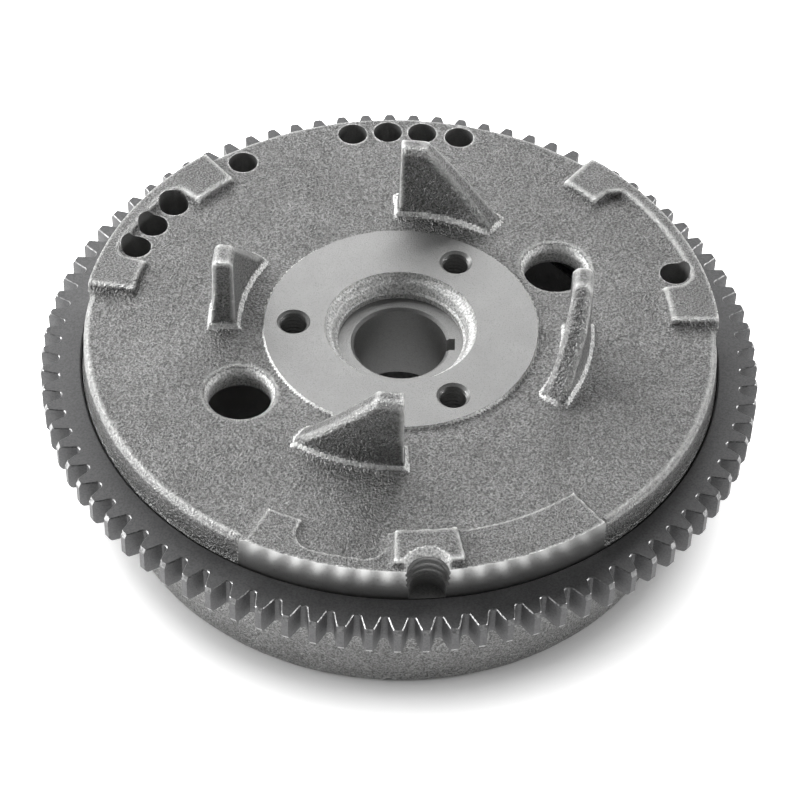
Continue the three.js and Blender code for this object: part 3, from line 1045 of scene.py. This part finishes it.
def sheet_steel(name, dark, light, smooth, dull):
    """Drawn or pressed steel between two tones and two roughnesses."""
    n = Nodes(name)
    drawn = n.noise(0.7, 3, 0.6, stretch=(1, 1, 8))
    clouds = n.noise(8, 3)
    tone = n.ramp(clouds, (0.3, (dark, dark, dark)), (0.7, (light, light, light)))
    return n.finish(tone, n.ramp(drawn, (0.3, smooth), (0.7, dull)), n.bump(drawn, 0.01), 1)


# ---------------------------------------------------------------- pieces


def place(piece, name, slot, materials, *nodes, sharp=32):
    """Names a finished piece, gives it its materials, and puts it on the frame."""
    piece.name = name
    for material in materials:
        piece.data.materials.append(material)
    smooth_shading(piece, sharp)
    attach(piece, ROOT)
    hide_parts(*nodes)
    return piece


def build_body():
    """The casting, its materials in the order of their slots."""
    casting = machined_casting()
    iron = [cast_iron(), turned_iron(), drilled_iron(), turned_wall_iron(), recess_iron()]
    casting.data.materials.clear()
    mark_machined_faces(casting)
    place(casting, "flywheel_casting", "cast_iron", iron, "flywheel_body", sharp=34)


def build_gear():
    gear = ring_gear()
    place(gear, "starter_ring_gear", "gear_steel", [gear_steel(), gear_edge_steel()], "ring_gear", sharp=20)
    mark_gear_edges(gear)


def build_magnets():
    magnet_names = sorted(name for name in frame["nodes"] if name.startswith(("magnet_0", "magnet_1")))
    pitch = 360 / len(magnet_names)
    inner = sleeve_high.x + GAP
    outer = magnet_high.x
    half = math.degrees(math.asin(magnet_high.y / outer))
    material = ferrite()
    for i, name in enumerate(magnet_names):
        centre = pitch * i
        magnet = chamfered_sector(name, inner, outer, centre - half, centre + half,
                                  magnet_low.z, magnet_high.z, 0.5)
        place(magnet, f"{name}_ferrite", "ferrite", [material], name)

    flange_top = magnet_low.z - GAP
    parts = [chamfered_ring("flange", inner, outer, cage_low.z, flange_top, 0.3)]
    rib_half = (pitch / 2 - half) - math.degrees(0.35 / inner)
    for i in range(len(magnet_names)):
        centre = pitch * (i + 0.5)
        parts.append(chamfered_sector("rib", inner, outer - 0.4, centre - rib_half, centre + rib_half,
                                      flange_top - 0.6, cage_high.z, 0.25))
    cage = parts[0]
    for rib in parts[1:]:
        boolean(cage, rib, "UNION")
    place(cage, "magnet_spacer_cage", "cage_nylon", [cage_nylon()], "magnet_cage")

    ring = chamfered_ring("ring", inner, outer, base_low.z, base_high.z, 0.25)
    ring_steel = sheet_steel("ring_steel", 0.26, 0.34, 0.3, 0.45)
    place(ring, "magnet_backing_ring", "ring_steel", [ring_steel], "magnet_base_ring")
    wall = 0.6
    skin = chamfered_ring("sleeve", sleeve_high.x - wall, sleeve_high.x, sleeve_low.z, sleeve_high.z, 0.12)
    sleeve_steel = sheet_steel("sleeve_steel", 0.5, 0.6, 0.2, 0.32)
    place(skin, "magnet_retaining_sleeve", "sleeve_steel", [sleeve_steel], "magnet_sleeve")


# ---------------------------------------------------------------- stage


def floor():
    """A pale floor whose glow is painted light: most in a ring round the flywheel, washing out its shadow and
    mirrored in the lugs' walls, more on its left, faint under the bore, and none under the rest of its web.
    """
    n = Nodes("studio_floor")
    tint = n.ramp(n.noise(400, 2), (0.3, (0.86, 0.86, 0.86)), (0.7, (0.9, 0.9, 0.9)))
    n.link(tint, n.shader.inputs["Base Color"])
    away = n.add("ShaderNodeVectorMath", operation="LENGTH")
    n.link(n.place, away.inputs[0])
    split = n.add("ShaderNodeSeparateXYZ")
    n.link(n.place, split.inputs["Vector"])
    side = n.ramp(n.math("ADD", n.math("MULTIPLY", split.outputs[0], 2.5), 0.5), (0, 1), (1, 0.5))
    stops = [(0.006, 0.34), (0.026, 0), (0.076, 0), (0.1, 1), (0.15, 1), (0.21, 0.34)]
    ring = n.ramp(away.outputs["Value"], *stops)
    full_glow = 2.4
    glow = n.math("MULTIPLY", n.mix(1, ring, side, "MULTIPLY"), full_glow)
    n.link(tint, n.shader.inputs["Emission Color"])
    n.link(glow, n.shader.inputs["Emission Strength"])
    n.shader.inputs["Roughness"].default_value = 0.9
    half = 3000
    level = -0.2
    corners = [(-half, -half, level), (half, -half, level), (half, half, level), (-half, half, level)]
    ground = mesh_object("studio_floor", corners, [(0, 1, 2, 3)])
    ground.data.materials.append(n.material)


def panel(name, azimuth, elevation, distance, width, height, radiance):
    """A soft light panel, facing the flywheel from that direction in degrees. Sizes are in millimetres."""
    light = bpy.data.lights.new(name, "AREA")
    light.shape = "RECTANGLE"
    light.size = width * MM
    light.size_y = height * MM
    light.energy = radiance * math.pi * width * height * MM * MM
    lamp = bpy.data.objects.new(name, light)
    bpy.context.scene.collection.objects.link(lamp)
    target = Vector((0, 0, GEAR_TOP))
    level = polar(math.cos(math.radians(elevation)), azimuth)
    direction = Vector((level.x, level.y, math.sin(math.radians(elevation))))
    lamp.location = (target + direction * distance) * MM
    lamp.rotation_mode = "QUATERNION"
    lamp.rotation_quaternion = direction.to_track_quat("Z", "Y")


def studio():
    floor()
    panel("back_panel", azimuth=112, elevation=38, distance=1200, width=1900, height=780, radiance=4.3)
    panel("left_panel", azimuth=180, elevation=12, distance=1000, width=700, height=360, radiance=11.0)
    panel("right_panel", azimuth=2, elevation=14, distance=1100, width=700, height=360, radiance=7.0)
    world = bpy.data.worlds.new("studio")
    world.use_nodes = True
    background = world.node_tree.nodes["Background"]
    background.inputs["Color"].default_value = (1, 1, 1, 1)
    background.inputs["Strength"].default_value = 0.09
    bpy.context.scene.world = world
    view = bpy.context.scene.view_settings
    view.view_transform = "Standard"
    view.look = "None"
    view.exposure = 0


# The camera looks down at the gear's top face from the front. Angles are in degrees, its lens in millimetres.
CAMERA_PITCH = 47.082
CAMERA_ROLL = -2.0244
CAMERA_DISTANCE = 7.98829 * TIP_RADIUS
CAMERA_RIGHT = 0.00455 * TIP_RADIUS
CAMERA_UP = -0.13698 * TIP_RADIUS
CAMERA_LENS = 128.635


def camera():
    pitch, roll = math.radians(CAMERA_PITCH), math.radians(CAMERA_ROLL)
    back = Vector((0, -math.cos(pitch), math.sin(pitch)))
    right = Vector((1, 0, 0))
    up = Vector((0, math.sin(pitch), math.cos(pitch)))
    target = Vector((0, 0, GEAR_TOP))
    position = target + back * CAMERA_DISTANCE + right * CAMERA_RIGHT + up * CAMERA_UP
    side = right * math.cos(roll) - up * math.sin(roll)
    top = right * math.sin(roll) + up * math.cos(roll)
    data = bpy.data.cameras.new("camera")
    data.sensor_width = 36
    data.lens = CAMERA_LENS
    data.clip_start = 0.05
    data.clip_end = 20
    eye = bpy.data.objects.new("camera", data)
    bpy.context.scene.collection.objects.link(eye)
    turn = Matrix((side, top, back)).transposed()
    eye.matrix_world = Matrix.Translation(position * MM) @ turn.to_4x4()
    bpy.context.scene.camera = eye


camera()
build_body()
build_gear()
build_magnets()
studio()
